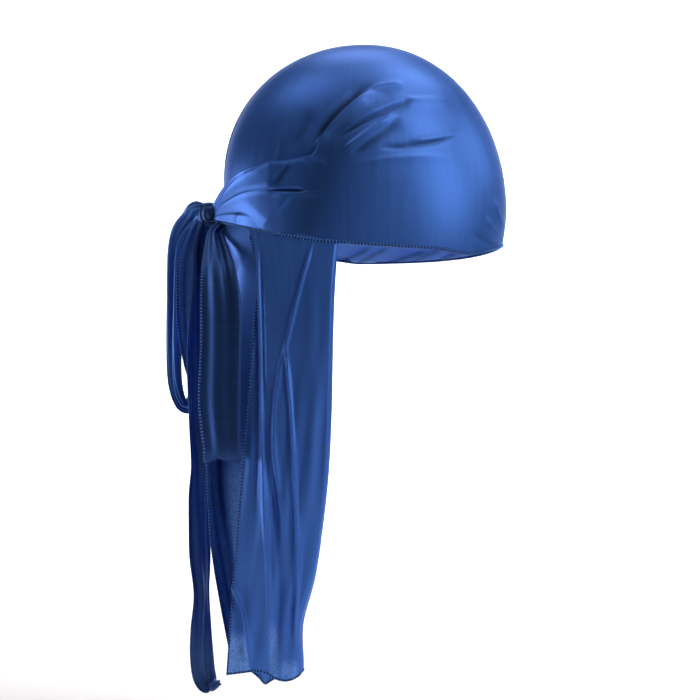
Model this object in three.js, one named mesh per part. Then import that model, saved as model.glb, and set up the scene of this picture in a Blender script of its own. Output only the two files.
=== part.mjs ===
// A satin durag in the form that it has on a head, tied behind in a bow.
// Millimetres. +X points to the forehead, +Y to the wearer's left and +Z up.
// The origin is the middle of the head opening, level with the hems over the ears.

import * as THREE from 'three';
import { mergeVertices } from 'three/addons/utils/BufferGeometryUtils.js';

// Cloth
const clothWall = 1.2;
const layerGap = 0.5;

// Crown, measured from the origin
const crownReachFront = 102.8;
const crownReachBack = 102.5;
const crownHalfWidth = 78;
const crownHeight = 153;
const shoulderFront = 30;
const shoulderSide = 42;
const shoulderBack = 55;
const planPower = 2.1;
const capPower = 2.07;
const hemTuck = 0.035;
const hemRise = 25;
const tailSeat = 3;

// Seam over the middle of the crown
const seamWidth = 3.2;
const seamRise = 0.9;
const panelGap = 0.4;
const seamEndShare = 0.42;

// Straps, from the temples to the knot
const strapWidth = 63;
const strapFrontWall = 0.5;
const strapEndHeight = 10;
const gatherDepth = 1.3;

// Knot
const knotLength = 16;
const knotBreadth = 18;
const knotDepth = 17;
const knotStandoff = 10.5;
const knotHeight = 29;
const knotGroove = 0.9;

// Bow loops and tie ends
const tieWidth = 22;
const bowThrow = 30;
const narrowLoopDrop = 142;
const wideLoopWidth = 27;
const wideLoopDrop = 177;
const wideLoopDepth = 9;
const longEndDrop = 350;
const shortEndDrop = 312;
const shortEndWidth = 26;

// Tail flap
const tailLength = 297;
const tailPleat = 6;

// Height of the lower hem round the head, in shares of hemRise.
// Column at is a share of the half turn from the forehead to the back of the head.
const hemRows = [
  { at: 0.0, right: 0.27, left: 0.27 },
  { at: 0.13, right: 0.0, left: 0.1 },
  { at: 0.2, right: -0.15, left: 0.03 },
  { at: 0.3, right: -0.05, left: -0.02 },
  { at: 0.5, right: 0.04, left: -0.05 },
  { at: 0.65, right: 0.17, left: 0.15 },
  { at: 0.72, right: 0.3, left: 0.3 },
  { at: 0.84, right: 0.6, left: 0.6 },
  { at: 1.0, right: 1.0, left: 1.0 },
];

// Width of a strap, in shares of strapWidth, over the same half turn.
const strapRows = [
  { at: 0.57, width: 1.37 },
  { at: 0.6, width: 1.23 },
  { at: 0.63, width: 1.11 },
  { at: 0.66, width: 0.92 },
  { at: 0.71, width: 0.82 },
  { at: 0.8, width: 0.7 },
  { at: 0.86, width: 0.6 },
  { at: 0.92, width: 0.45 },
  { at: 0.96, width: 0.3 },
];

// Tension folds of the crown, seen from the side: where each starts and ends, in shares of
// crownReachFront and crownHeight, how far its middle bows up, its depth and half width in shares
// of foldSize. A negative depth is a valley.
const foldSize = 6;
const foldsRight = [
  { fromX: -0.36, fromZ: 0.41, toX: 0.03, toZ: 0.745, bow: 0.0, depth: -0.55, width: 1.0 },
  { fromX: -0.13, fromZ: 0.56, toX: 0.12, toZ: 0.74, bow: 0.0, depth: 0.3, width: 1.2 },
  { fromX: -0.17, fromZ: 0.515, toX: 0.37, toZ: 0.705, bow: 0.0, depth: -0.35, width: 0.9 },
  { fromX: -0.14, fromZ: 0.43, toX: 0.2, toZ: 0.6, bow: 0.0, depth: 0.3, width: 1.2 },
  { fromX: 0.13, fromZ: 0.45, toX: 0.64, toZ: 0.525, bow: -0.02, depth: -0.35, width: 1.0 },
  { fromX: -0.11, fromZ: 0.345, toX: 0.68, toZ: 0.4, bow: 0.03, depth: 0.25, width: 1.5 },
];
const foldsLeft = [
  { fromX: -0.38, fromZ: 0.42, toX: 0.06, toZ: 0.74, bow: 0.01, depth: -0.5, width: 1.1 },
  { fromX: -0.2, fromZ: 0.5, toX: 0.33, toZ: 0.68, bow: 0.01, depth: -0.35, width: 1.0 },
  { fromX: 0.1, fromZ: 0.42, toX: 0.6, toZ: 0.5, bow: -0.01, depth: -0.3, width: 1.1 },
];

// The tail's section, from the free edge of its outer layer forward to the fold beside the neck,
// then back as the inner layer and round to the free edge on the left.
// turn and out place its top on the crown: a share of the half turn and a count of cloth layers.
// x and y, in shares of crownReachBack and crownHalfWidth, place it at three depths.
// reach is the height of its bottom hem in shares of tailLength.
const tailRows = [
  { at: 0, turn: -0.84, out: 1, x1: -0.745, y1: -0.77, x2: -0.83, y2: -0.74, x3: -0.945, y3: -0.6, reach: 0.995 },
  { at: 5, turn: -0.74, out: 1, x1: -0.52, y1: -0.9, x2: -0.6, y2: -0.86, x3: -0.73, y3: -0.7, reach: 0.99 },
  { at: 10, turn: -0.64, out: 1, x1: -0.33, y1: -0.97, x2: -0.4, y2: -0.9, x3: -0.55, y3: -0.73, reach: 1.0 },
  { at: 13, turn: -0.59, out: 1, x1: -0.235, y1: -0.99, x2: -0.28, y2: -0.9, x3: -0.445, y3: -0.72, reach: 1.01 },
  { at: 14, turn: -0.58, out: 0, x1: -0.21, y1: -0.94, x2: -0.25, y2: -0.84, x3: -0.42, y3: -0.66, reach: 1.0 },
  { at: 20, turn: -0.68, out: 0, x1: -0.5, y1: -0.8, x2: -0.53, y2: -0.73, x3: -0.62, y3: -0.53, reach: 0.985 },
  { at: 26, turn: -0.84, out: 0, x1: -0.77, y1: -0.56, x2: -0.74, y2: -0.5, x3: -0.76, y3: -0.38, reach: 0.99 },
  { at: 32, turn: -1, out: 0, x1: -0.87, y1: 0, x2: -0.82, y2: -0.06, x3: -0.82, y3: -0.1, reach: 0.98 },
  { at: 37, turn: -1.15, out: 0, x1: -0.78, y1: 0.52, x2: -0.74, y2: 0.34, x3: -0.77, y3: 0.17, reach: 0.97 },
  { at: 41, turn: -1.3, out: 0, x1: -0.5, y1: 0.79, x2: -0.52, y2: 0.56, x3: -0.61, y3: 0.33, reach: 0.98 },
  { at: 44, turn: -1.4, out: 0, x1: -0.29, y1: 0.88, x2: -0.34, y2: 0.66, x3: -0.47, y3: 0.42, reach: 0.97 },
];
const tailColumns = tailRows[tailRows.length - 1].at;
const tailDepths = [0, 0.12, 0.52, 1];
const tailFoldAt = 14;

// Upright pleats of the tail: place on the section, half width there, and depth in shares of
// tailPleat. A negative depth goes in.
const pleatRows = [
  { at: 2.6, width: 1.4, depth: -0.55 },
  { at: 5.4, width: 1.6, depth: 0.45 },
  { at: 8.2, width: 1.4, depth: -0.5 },
  { at: 23, width: 1.6, depth: 0.6 },
  { at: 28.5, width: 1.5, depth: -0.6 },
  { at: 32, width: 1.5, depth: 0.6 },
  { at: 35.5, width: 1.5, depth: -0.6 },
  { at: 39.5, width: 1.5, depth: 0.5 },
];

// Routes of the loops and ends. back, aside and down run from the middle of the knot, in shares of
// the sizes that each piece names below. width is a share of its cloth's width, and facing the
// direction of that width in degrees: 0 along X and 90 along Y.
const narrowLoopRows = [
  { back: 0.55, aside: 0.3, down: -0.012, width: 0.75, facing: 70 },
  { back: 0.82, aside: 0.5, down: 0.08, width: 0.9, facing: 66 },
  { back: 0.94, aside: 0.62, down: 0.235, width: 1.0, facing: 66 },
  { back: 0.967, aside: 0.68, down: 0.44, width: 1.0, facing: 66 },
  { back: 0.98, aside: 0.7, down: 0.673, width: 0.95, facing: 62 },
  { back: 0.93, aside: 0.7, down: 0.86, width: 0.9, facing: 64 },
  { back: 0.76, aside: 0.7, down: 0.975, width: 0.8, facing: 80 },
  { back: 0.55, aside: 0.7, down: 0.985, width: 0.8, facing: 90 },
  { back: 0.43, aside: 0.7, down: 0.89, width: 0.85, facing: 80 },
  { back: 0.51, aside: 0.7, down: 0.7, width: 0.9, facing: 70 },
  { back: 0.61, aside: 0.66, down: 0.44, width: 0.9, facing: 66 },
  { back: 0.63, aside: 0.55, down: 0.235, width: 0.8, facing: 66 },
  { back: 0.57, aside: 0.38, down: 0.12, width: 0.6, facing: 70 },
];
const longEndRows = [
  { back: 0.3, aside: -0.15, down: 0.06, width: 0.5, facing: 60 },
  { back: 0.3, aside: -0.2, down: 0.157, width: 0.65, facing: 55 },
  { back: 0.357, aside: -0.2, down: 0.283, width: 0.8, facing: 50 },
  { back: 0.357, aside: -0.2, down: 0.409, width: 0.8, facing: 60 },
  { back: 0.243, aside: -0.2, down: 0.514, width: 0.75, facing: 42 },
  { back: 0.26, aside: -0.2, down: 0.597, width: 0.85, facing: 40 },
  { back: 0.24, aside: -0.2, down: 0.7, width: 0.85, facing: 36 },
  { back: 0.185, aside: -0.2, down: 0.806, width: 0.85, facing: 48 },
  { back: 0.205, aside: -0.2, down: 0.9, width: 0.85, facing: 40 },
  { back: 0.16, aside: -0.2, down: 0.963, width: 0.8, facing: 36 },
  { back: -0.06, aside: -0.2, down: 0.99, width: 0.5, facing: 70 },
];
const shortEndRows = [
  { back: 0.04, aside: -0.02, down: 0.1, width: 0.3, facing: 0 },
  { back: 0.02, aside: -0.24, down: 0.2, width: 0.6, facing: -6 },
  { back: 0.0, aside: -0.32, down: 0.36, width: 0.95, facing: -4 },
  { back: 0.0, aside: -0.34, down: 0.58, width: 1.0, facing: 0 },
  { back: -0.09, aside: -0.33, down: 0.73, width: 0.9, facing: 4 },
  { back: -0.22, aside: -0.3, down: 0.86, width: 0.75, facing: 8 },
  { back: -0.36, aside: -0.27, down: 1.0, width: 0.6, facing: 10 },
];

// The wide loop hangs beside the tail: edge is the place of its front edge in shares of
// crownReachBack, aside its distance in shares of crownHalfWidth, down a share of wideLoopDrop.
const wideLoopRows = [
  { edge: -1.0, aside: -0.3, down: 0.085, width: 0.35 },
  { edge: -0.945, aside: -0.5, down: 0.16, width: 0.6 },
  { edge: -0.885, aside: -0.68, down: 0.26, width: 0.86 },
  { edge: -0.855, aside: -0.78, down: 0.4, width: 1.0 },
  { edge: -0.858, aside: -0.8, down: 0.56, width: 1.0 },
  { edge: -0.858, aside: -0.8, down: 0.76, width: 1.03 },
  { edge: -0.86, aside: -0.8, down: 0.95, width: 0.97 },
];

const satin = { color: 0x2450aa, roughness: 0.42, metalness: 0 };
const satinShade = { color: 0x1c3f90, roughness: 0.45, metalness: 0 };
const seamThread = { color: 0x16316f, roughness: 0.6, metalness: 0 };

const degree = Math.PI / 180;
const knotCentre = new THREE.Vector3(-crownReachBack - knotStandoff, 0, knotHeight);

function share(value) {
  return Math.min(1, Math.max(0, value));
}

function ease(from, to, value) {
  const t = share((value - from) / (to - from));
  return t * t * (3 - 2 * t);
}

// A curve through a table's column that bends smoothly at each row and never overshoots one.
function readTable(rows, column, place) {
  const last = rows.length - 1;
  let row = 0;
  while (row < last - 1 && place > rows[row + 1].at) {
    row += 1;
  }
  const slope = (index) =>
    (rows[index + 1][column] - rows[index][column]) / (rows[index + 1].at - rows[index].at);
  const tangent = (index) => {
    if (index === 0) {
      return slope(0);
    }
    if (index === last) {
      return slope(last - 1);
    }
    const before = slope(index - 1);
    const after = slope(index);
    return before * after > 0 ? (2 * before * after) / (before + after) : 0;
  };
  const span = rows[row + 1].at - rows[row].at;
  const t = share((place - rows[row].at) / span);
  const start = (1 + 2 * t) * (1 - t) ** 2 * rows[row][column];
  const end = t * t * (3 - 2 * t) * rows[row + 1][column];
  const bend = t * (1 - t) * span * ((1 - t) * tangent(row) - t * tangent(row + 1));
  return start + end + bend;
}

// Closed wall of cloth round a surface with two parameters from 0 to 1. Its two faces lie at the
// offsets inner and outer along the surface's normal.
function clothSolid(surface, columns, rows, inner, outer) {
  const step = 1e-4;
  const points = [];
  const known = new Map();
  const addPoint = (point) => {
    const key = point.toArray().map((value) => Math.round(value * 1000)).join(',');
    if (!known.has(key)) {
      known.set(key, points.length);
      points.push(point);
    }
    return known.get(key);
  };
  const faces = [];
  const addFace = (a, b, c) => {
    if (a !== b && b !== c && c !== a) {
      faces.push(a, b, c);
    }
  };
  const top = [];
  const bottom = [];
  for (let i = 0; i <= columns; i += 1) {
    top.push([]);
    bottom.push([]);
    for (let j = 0; j <= rows; j += 1) {
      const u = i / columns;
      const v = j / rows;
      const along = surface(Math.min(1, u + step), v).sub(surface(Math.max(0, u - step), v));
      const across = surface(u, Math.min(1, v + step)).sub(surface(u, Math.max(0, v - step)));
      const normal = along.cross(across);
      // At the very top of the crown all columns meet, and the surface faces straight up.
      if (normal.lengthSq() < 1e-18) {
        normal.set(0, 0, 1);
      }
      normal.normalize();
      const point = surface(u, v);
      top[i].push(addPoint(point.clone().addScaledVector(normal, outer(u, v))));
      bottom[i].push(addPoint(point.clone().addScaledVector(normal, inner(u, v))));
    }
  }
  for (let i = 0; i < columns; i += 1) {
    for (let j = 0; j < rows; j += 1) {
      addFace(top[i][j], top[i + 1][j], top[i + 1][j + 1]);
      addFace(top[i][j], top[i + 1][j + 1], top[i][j + 1]);
      addFace(bottom[i][j], bottom[i + 1][j + 1], bottom[i + 1][j]);
      addFace(bottom[i][j], bottom[i][j + 1], bottom[i + 1][j + 1]);
    }
  }
  const rim = [];
  for (let i = 0; i < columns; i += 1) {
    rim.push([i, 0]);
  }
  for (let j = 0; j < rows; j += 1) {
    rim.push([columns, j]);
  }
  for (let i = columns; i > 0; i -= 1) {
    rim.push([i, rows]);
  }
  for (let j = rows; j > 0; j -= 1) {
    rim.push([0, j]);
  }
  rim.forEach(([i, j], index) => {
    const [nextI, nextJ] = rim[(index + 1) % rim.length];
    addFace(top[nextI][nextJ], top[i][j], bottom[i][j]);
    addFace(top[nextI][nextJ], bottom[i][j], bottom[nextI][nextJ]);
  });
  const geometry = new THREE.BufferGeometry().setFromPoints(points);
  geometry.setIndex(faces);
  return geometry;
}

function piece(name, geometry, finish) {
  const mesh = new THREE.Mesh(geometry, new THREE.MeshStandardMaterial(finish));
  mesh.name = name;
  return mesh;
}

// Reach of the crown from its axis in plan, at the shoulder.
function planReach(turn) {
  const reach = Math.cos(turn) > 0 ? crownReachFront : crownReachBack;
  const along = Math.abs(Math.cos(turn)) / reach;
  const across = Math.abs(Math.sin(turn)) / crownHalfWidth;
  return (along ** planPower + across ** planPower) ** (-1 / planPower);
}

function shoulderHeight(turn) {
  const ahead = Math.cos(turn) ** 2;
  const end = Math.cos(turn) > 0 ? shoulderFront : shoulderBack;
  return ahead * end + (1 - ahead) * shoulderSide;
}

// Reach of the crown at a height: nearly upright below its shoulder, rounded above it.
function crownReach(turn, height) {
  const shoulder = shoulderHeight(turn);
  if (height <= shoulder) {
    return planReach(turn) * (1 - hemTuck * ((shoulder - height) / shoulder) ** 2);
  }
  const rise = share((height - shoulder) / (crownHeight - shoulder));
  return planReach(turn) * (1 - rise ** capPower) ** (1 / capPower);
}

// How far the tension folds lift the crown at a place seen from the side.
function foldLift(turn, x, z) {
  const folds = Math.sin(turn) < 0 ? foldsRight : foldsLeft;
  let lift = 0;
  for (const fold of folds) {
    const fromX = fold.fromX * crownReachFront;
    const fromZ = fold.fromZ * crownHeight;
    const runX = fold.toX * crownReachFront - fromX;
    const runZ = fold.toZ * crownHeight - fromZ;
    const run = Math.hypot(runX, runZ);
    const along = ((x - fromX) * runX + (z - fromZ) * runZ) / run ** 2;
    const middle = 4 * share(along) * (1 - share(along));
    const off = ((z - fromZ) * runX - (x - fromX) * runZ) / run - fold.bow * crownHeight * middle;
    const fade = ease(-0.05, 0.15, along) * (1 - ease(0.6, 1.1, along));
    lift += fold.depth * foldSize * fade * Math.exp(-((off / (fold.width * foldSize)) ** 2));
  }
  return lift;
}

// Point of the crown's smooth outer face at a turn and height, lifted off it by a distance.
function domePoint(turn, height, lift) {
  const reach = crownReach(turn, height);
  const x = reach * Math.cos(turn);
  const y = reach * Math.sin(turn);
  const end = x > 0 ? crownReachFront : crownReachBack;
  const shoulder = shoulderHeight(turn);
  const above = Math.max(0, height - shoulder) / (crownHeight - shoulder) ** 2;
  const outward = new THREE.Vector3(x / end ** 2, y / crownHalfWidth ** 2, above).normalize();
  return new THREE.Vector3(x, y, height).addScaledVector(outward, lift);
}

function crownPoint(turn, height) {
  const x = crownReach(turn, height) * Math.cos(turn);
  return domePoint(turn, height, foldLift(turn, x, height));
}

function hemHeight(turn) {
  const place = Math.abs(turn) / Math.PI;
  return hemRise * readTable(hemRows, turn < 0 ? 'right' : 'left', place);
}

// Lower edge of a crown half: the hem in front, and a step higher where the tail hangs from it.
function crownEdge(turn) {
  const place = Math.abs(turn) / Math.PI;
  return hemHeight(turn) + tailSeat * ease(0.53, 0.57, place);
}

function crownHalf(side, columns, rows) {
  const surface = (u, v) => {
    const turn = side < 0 ? -Math.PI * (1 - u) : Math.PI * u;
    const edge = crownEdge(turn);
    const height = edge + (crownHeight - edge) * Math.sin((v * Math.PI) / 2);
    const point = crownPoint(turn, height);
    point.y += (side * panelGap) / 2;
    return point;
  };
  return clothSolid(surface, columns, rows, () => -clothWall, () => 0);
}

// The seam's welt follows the crown's middle line from the forehead hem over the top.
function centreSeam(rows) {
  const surface = (u, v) => {
    const turn = u < 0.5 ? 0 : Math.PI;
    const climb = u < 0.5 ? 2 * u : 2 - 2 * u;
    const edge = crownEdge(turn);
    const height = edge + (crownHeight - edge) * Math.sin((climb * Math.PI) / 2);
    const point = crownPoint(turn, height);
    point.y = seamWidth * (0.5 - v);
    return point;
  };
  const stop = 1 - seamEndShare / 2;
  const shortened = (u, v) => surface(u * stop, v);
  const steps = Math.round(2 * rows * stop);
  return clothSolid(shortened, steps, 2, () => layerGap, () => layerGap + seamRise);
}

// A strap lies on the crown, narrows towards the back and leaves the crown for the knot's side.
function strap(side, columns, rows) {
  const first = strapRows[0].at;
  const surface = (u, v) => {
    const place = first + (1 - first) * u;
    const turn = side * Math.PI * Math.min(place, 0.97);
    const low = hemHeight(side * Math.PI * place);
    const width = strapWidth * readTable(strapRows, 'width', place);
    const onCrown = domePoint(turn, low + width * v, layerGap);
    const ripple = gatherDepth * ease(0.7, 0.95, place) * Math.sin(3 * Math.PI * v) ** 2;
    const outward = new THREE.Vector3(Math.cos(turn), Math.sin(turn), 0);
    onCrown.addScaledVector(outward, ripple);
    const atKnot = new THREE.Vector3(0, side * (knotBreadth / 2 + layerGap), 0);
    atKnot.z = (v - 0.5) * strapEndHeight;
    atKnot.add(knotCentre);
    return onCrown.lerp(atKnot, ease(0.84, 1, place));
  };
  const outer = (u) => strapFrontWall + (clothWall - strapFrontWall) * ease(0, 0.2, u);
  const turned = side < 0 ? (u, v) => surface(1 - u, v) : surface;
  const wall = side < 0 ? (u) => outer(1 - u) : outer;
  return clothSolid(turned, columns, rows, () => 0, wall);
}

// The knot is a rounded lump of cloth with grooves between its turns.
function knotBody() {
  const geometry = new THREE.SphereGeometry(0.5, 18, 12);
  geometry.deleteAttribute('uv');
  geometry.deleteAttribute('normal');
  const merged = mergeVertices(geometry, 1e-4);
  const place = merged.getAttribute('position');
  const point = new THREE.Vector3();
  for (let i = 0; i < place.count; i += 1) {
    point.fromBufferAttribute(place, i);
    const groove = Math.cos(14 * (point.y + 0.4 * point.z)) ** 4;
    const inset = 1 - (2 * knotGroove * groove) / knotLength;
    point.multiplyScalar(inset);
    place.setXYZ(i, point.x * knotLength, point.y * knotBreadth, point.z * knotDepth);
  }
  merged.translate(knotCentre.x, knotCentre.y, knotCentre.z);
  return merged;
}

// Point just off the knot in a direction, where a loop or an end comes out of it.
function knotExit(x, y, z) {
  const direction = new THREE.Vector3(x, y, z).normalize();
  const half = new THREE.Vector3(knotLength / 2, knotBreadth / 2, knotDepth / 2);
  const reach = 1 / direction.clone().divide(half).length();
  return direction.multiplyScalar(reach + layerGap + clothWall / 2).add(knotCentre);
}

// Band of cloth along a route of stations, each with a point, a width and the direction of that
// width in plan. Its ends are square to the route.
function band(stations, columns, rows) {
  const route = new THREE.CatmullRomCurve3(stations.map((station) => station.point));
  const marks = stations.map((station, at) => ({ at, ...station }));
  const surface = (u, v) => {
    const place = u * (stations.length - 1);
    const facing = readTable(marks, 'facing', place) * degree;
    const across = new THREE.Vector3(Math.cos(facing), Math.sin(facing), 0);
    const tangent = route.getTangent(u);
    across.addScaledVector(tangent, -across.dot(tangent)).normalize();
    const width = readTable(marks, 'width', place);
    return route.getPoint(u).addScaledVector(across, width * (v - 0.5));
  };
  return clothSolid(surface, columns, rows, () => -clothWall / 2, () => clothWall / 2);
}

// Stations of a loop or end that hangs from the knot.
function knotRoute(rows, drop, width) {
  return rows.map((row) => ({
    point: new THREE.Vector3(-row.back * bowThrow, row.aside * width, -row.down * drop).add(knotCentre),
    width: row.width * width,
    facing: row.facing,
  }));
}

function narrowLoop() {
  const hanging = knotRoute(narrowLoopRows, narrowLoopDrop, tieWidth);
  const first = { point: knotExit(-0.6, 0.1, 0.7), width: tieWidth / 3, facing: 80 };
  const last = { point: knotExit(-0.8, 0.6, 0.0), width: tieWidth / 3, facing: 80 };
  return band([first, ...hanging, last], 44, 2);
}

function longEnd() {
  const hanging = knotRoute(longEndRows, longEndDrop, tieWidth);
  const first = { point: knotExit(-0.75, -0.25, -0.6), width: tieWidth / 3, facing: 70 };
  return band([first, ...hanging], 44, 2);
}

function shortEnd() {
  const hanging = knotRoute(shortEndRows, shortEndDrop, shortEndWidth).map((station, index) => {
    station.point.y = shortEndRows[index].aside * crownHalfWidth;
    return station;
  });
  const first = { point: knotExit(-0.1, 0.35, -0.95), width: shortEndWidth / 4, facing: 20 };
  return band([first, ...hanging], 32, 2);
}

// The wide loop goes down on its near side and comes back up behind it.
function wideLoop() {
  const station = (row, layer) => {
    const width = row.width * wideLoopWidth;
    const x = row.edge * crownReachBack - width / 2;
    const y = row.aside * crownHalfWidth + layer * wideLoopDepth * ease(0, 0.3, row.down);
    const z = knotHeight - row.down * wideLoopDrop;
    return { point: new THREE.Vector3(x, y, z), width, facing: 0 };
  };
  const down = wideLoopRows.map((row) => station(row, -0.5));
  const up = wideLoopRows.map((row) => station(row, 0.5)).reverse();
  const lowest = wideLoopRows[wideLoopRows.length - 1];
  const turnRow = { ...lowest, down: 1 };
  const first = { point: knotExit(-0.1, -0.45, -0.9), width: wideLoopWidth / 5, facing: 0 };
  const last = { point: knotExit(0.4, -0.25, -0.9), width: wideLoopWidth / 5, facing: 0 };
  return band([first, ...down, station(turnRow, 0), ...up.slice(0, -1), last], 44, 2);
}

// How far the upright pleats push the tail out at a place on its section.
function pleatLift(place) {
  let lift = 0;
  for (const pleat of pleatRows) {
    lift += pleat.depth * tailPleat * Math.exp(-(((place - pleat.at) / pleat.width) ** 2));
  }
  return lift;
}

// Middle of the tail's cloth, from its top under the strap down to its hem.
function tailPoint(place, depth) {
  const turn = readTable(tailRows, 'turn', place) * Math.PI;
  const wrapped = turn < -Math.PI ? turn + 2 * Math.PI : turn;
  const out = readTable(tailRows, 'out', place);
  const underStrap = 1 - ease(tailFoldAt, tailFoldAt + 2, place);
  const topHeight = crownEdge(wrapped) - layerGap - underStrap * tailSeat;
  const topReach = crownReach(turn, topHeight) + out * (layerGap + clothWall) - clothWall / 2;
  const levels = [1, 2, 3].map((level) => ({
    at: tailDepths[level],
    x: readTable(tailRows, `x${level}`, place) * crownReachBack,
    y: readTable(tailRows, `y${level}`, place) * crownHalfWidth,
  }));
  const top = { at: 0, x: topReach * Math.cos(turn), y: topReach * Math.sin(turn) };
  const rail = [top, ...levels];
  const bottomHeight = -tailLength * readTable(tailRows, 'reach', place);
  const x = readTable(rail, 'x', depth);
  const y = readTable(rail, 'y', depth);
  return new THREE.Vector3(x, y, topHeight + (bottomHeight - topHeight) * depth);
}

function tail(rows) {
  const near = 0.01;
  const surface = (u, v) => {
    const place = u * tailColumns;
    const depth = v ** 1.3;
    const point = tailPoint(place, depth);
    const ahead = tailPoint(Math.min(tailColumns, place + near), depth);
    const behind = tailPoint(Math.max(0, place - near), depth);
    const run = ahead.sub(behind).normalize();
    const push = pleatLift(place) * ease(0.02, 0.35, depth);
    point.x += run.y * push;
    point.y -= run.x * push;
    return point;
  };
  return clothSolid(surface, tailColumns, rows, () => -clothWall / 2, () => clothWall / 2);
}

const crownRows = 16;
const durag = new THREE.Group();
durag.add(piece('crown_right', crownHalf(-1, 30, crownRows), satin));
durag.add(piece('crown_left', crownHalf(1, 26, crownRows), satin));
durag.add(piece('centre_seam', centreSeam(crownRows), seamThread));
durag.add(piece('strap_right', strap(-1, 20, 6), satin));
durag.add(piece('strap_left', strap(1, 20, 6), satin));
durag.add(piece('knot', knotBody(), satinShade));
durag.add(piece('narrow_loop', narrowLoop(), satinShade));
durag.add(piece('wide_loop', wideLoop(), satin));
durag.add(piece('long_end', longEnd(), satin));
durag.add(piece('short_end', shortEnd(), satinShade));
durag.add(piece('tail', tail(14), satin));

export default durag;
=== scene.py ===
import math

import bpy
import numpy as np
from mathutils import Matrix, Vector


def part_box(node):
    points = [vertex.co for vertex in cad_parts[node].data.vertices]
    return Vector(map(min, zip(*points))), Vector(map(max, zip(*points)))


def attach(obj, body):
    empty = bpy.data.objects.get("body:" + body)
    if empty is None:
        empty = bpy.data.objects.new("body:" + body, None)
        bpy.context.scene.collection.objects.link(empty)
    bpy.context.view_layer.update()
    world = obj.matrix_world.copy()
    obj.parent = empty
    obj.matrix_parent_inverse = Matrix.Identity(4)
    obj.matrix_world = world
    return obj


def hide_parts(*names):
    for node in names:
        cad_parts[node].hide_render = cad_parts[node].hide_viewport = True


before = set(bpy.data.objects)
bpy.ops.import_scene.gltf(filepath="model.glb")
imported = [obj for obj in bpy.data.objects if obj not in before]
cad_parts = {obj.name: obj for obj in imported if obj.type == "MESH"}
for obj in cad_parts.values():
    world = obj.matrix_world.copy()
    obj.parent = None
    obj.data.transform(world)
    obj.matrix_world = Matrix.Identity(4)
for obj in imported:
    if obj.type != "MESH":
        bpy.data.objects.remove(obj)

print("durag: frame loaded")
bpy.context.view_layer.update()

# All shapes are worked out in millimetres, with +X to the forehead and +Z up, and become metres
# when a mesh is made.
metre = 0.001


def boxOf(node):
    low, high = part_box(node)
    return np.array(low) / metre, np.array(high) / metre


leftLow, leftHigh = boxOf("crown_left")
knotLow, knotHigh = boxOf("knot")
knotCentre = (knotLow + knotHigh) / 2
knotHalf = (knotHigh - knotLow) / 2

crown = {
    "reachFront": leftHigh[0],       # forehead
    "reachBack": -leftLow[0],        # back of the head
    "halfWidth": leftHigh[1] - 0.2,  # without half the gap between the halves
    "halfGap": 0.12,
    "height": leftHigh[2],
    "shoulderFront": 30.0,           # below its shoulder the crown is nearly upright
    "shoulderSide": 42.0,
    "shoulderBack": 55.0,
    "planPower": 2.1,
    "capPower": 2.07,
    "hemTuck": 0.035,
    "hemRise": 25.0,                 # from the side hems up to the back
    "strapStep": 3.0,                # behind the ears the crown ends above the strap's hem
    "inset": 0.3,                    # of the outer face from the CAD crown's
    "slack": 0.35,                   # faint waves of the whole cloth
    "clothRadius": 88.0,             # lays the cloth flat: millimetres to a radian round it
    "clothRise": 1.25,               # and up it, to a millimetre of height
    "wall": 0.8,
    "columns": 284,
    "rows": 146,
}


# The rows of a table as dictionaries, by the names of its columns
def rowsOf(columns, *rows):
    return [dict(zip(columns.split(), row)) for row in rows]


def share(value):
    return np.clip(value, 0.0, 1.0)


def ease(start, end, value):
    t = share((value - start) / (end - start))
    return t * t * (3 - 2 * t)


def softEase(start, end, value):
    t = share((value - start) / (end - start))
    return t ** 3 * (t * (6 * t - 15) + 10)


# count + 1 shares from 0 to 1 that stand closer together round a middle
def crowdedShares(count, middle, spread, crowd):
    even = np.linspace(0, 1, 2001)
    density = 1 + crowd * np.exp(-((even - middle) / spread) ** 2)
    total = np.concatenate([[0], np.cumsum((density[1:] + density[:-1]) / 2)])
    return np.interp(np.linspace(0, total[-1], count + 1), total, even)


# A smooth curve through a column of a table, which never overshoots a row
def readRows(rows, column, place):
    at = np.array([row["at"] for row in rows], float)
    value = np.array([row[column] for row in rows], float)
    return readCurve(at, value, place)


def readCurve(at, value, place):
    slope = np.diff(value) / np.diff(at)
    tangent = np.zeros_like(value)
    tangent[0], tangent[-1] = slope[0], slope[-1]
    product = slope[:-1] * slope[1:]
    total = np.where(product > 0, slope[:-1] + slope[1:], 1.0)
    tangent[1:-1] = np.where(product > 0, 2 * product / total, 0.0)
    place = np.clip(np.asarray(place, float), at[0], at[-1])
    row = np.clip(np.searchsorted(at, place, side="right") - 1, 0, len(at) - 2)
    span = at[row + 1] - at[row]
    t = (place - at[row]) / span
    start = (1 + 2 * t) * (1 - t) ** 2 * value[row]
    end = t * t * (3 - 2 * t) * value[row + 1]
    return start + end + t * (1 - t) * span * ((1 - t) * tangent[row] - t * tangent[row + 1])


# Height of the lower hem, in shares of hemRise, by share of the half turn from the forehead
hemRows = rowsOf(
    "at right left",
    (0.0, 0.27, 0.27),
    (0.13, 0.0, 0.1),
    (0.2, -0.15, 0.03),
    (0.3, -0.05, -0.02),
    (0.5, 0.04, -0.05),
    (0.65, 0.17, 0.15),
    (0.72, 0.3, 0.3),
    (0.84, 0.6, 0.6),
    (1.0, 1.0, 1.0),
)

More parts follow.
